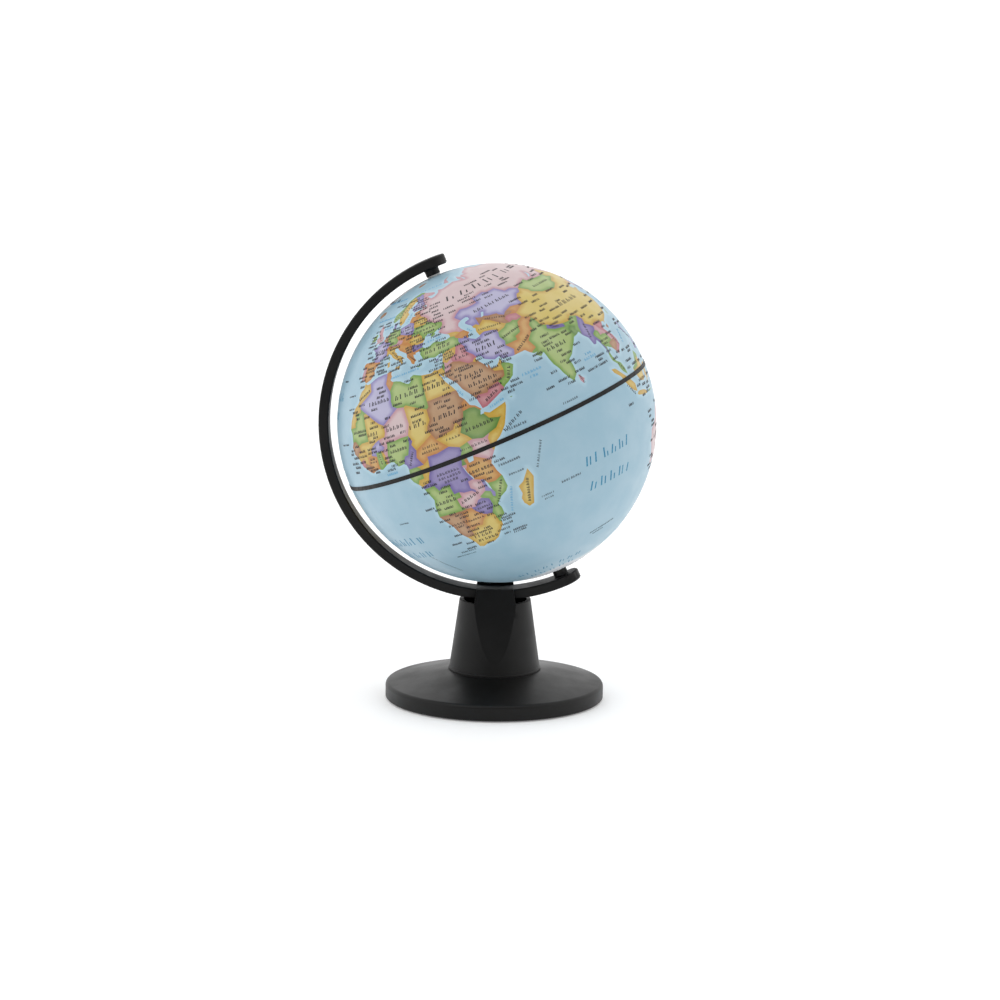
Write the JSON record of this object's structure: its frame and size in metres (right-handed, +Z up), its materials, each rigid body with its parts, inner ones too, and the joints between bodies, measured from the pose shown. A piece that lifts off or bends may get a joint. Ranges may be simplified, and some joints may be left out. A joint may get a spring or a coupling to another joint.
{
  "type": "desktop globe",
  "caption": "Small political globe with a taped equator, turning on its tilted axis in a curved arm, on a tapered column and a round domed base.",
  "frame": {"origin": "centre of the felt underside, on the table, under the column's axis", "axes": "+Z up; the arm lies in the XZ plane on the -X side of the ball and the north pole leans towards -X; -Y is the side that faces the viewer"},
  "size_m": [0.1691, 0.1604, 0.2253],
  "materials": {
    "black_plastic": "satin black moulded plastic",
    "ball_print": "satin printed skin over thin plastic",
    "tape": "satin black tape",
    "white_plastic": "plain moulded plastic",
    "steel": "plated",
    "ballast": "raw",
    "cover": "matt",
    "felt": "pressed felt"
  },
  "bodies": {
    "stand": {"base_shell": "black_plastic", "ballast_ring": "ballast", "bottom_cover": "cover", "cover_screws": "steel", "foot_felt": "felt", "column": "black_plastic", "column_screws": "steel", "arm_screw": "steel", "arm_screw_washer": "steel", "meridian_arm": "black_plastic", "north_axle_pin": "steel", "south_axle_pin": "steel", "north_washer": "white_plastic", "south_washer": "white_plastic"},
    "globe": {"north_hemisphere": "ball_print", "south_hemisphere": "ball_print", "joining_ring": "white_plastic", "equator_tape": "tape", "north_pole_bush": "white_plastic", "south_pole_bush": "white_plastic"}
  },
  "joints": [
    {"name": "globe_spin", "type": "hinge", "parent": "stand", "child": "globe", "pos_m": [0, 0, 0.1406], "axis": [-0.3987, 0, 0.9171], "continuous": true}
  ]
}
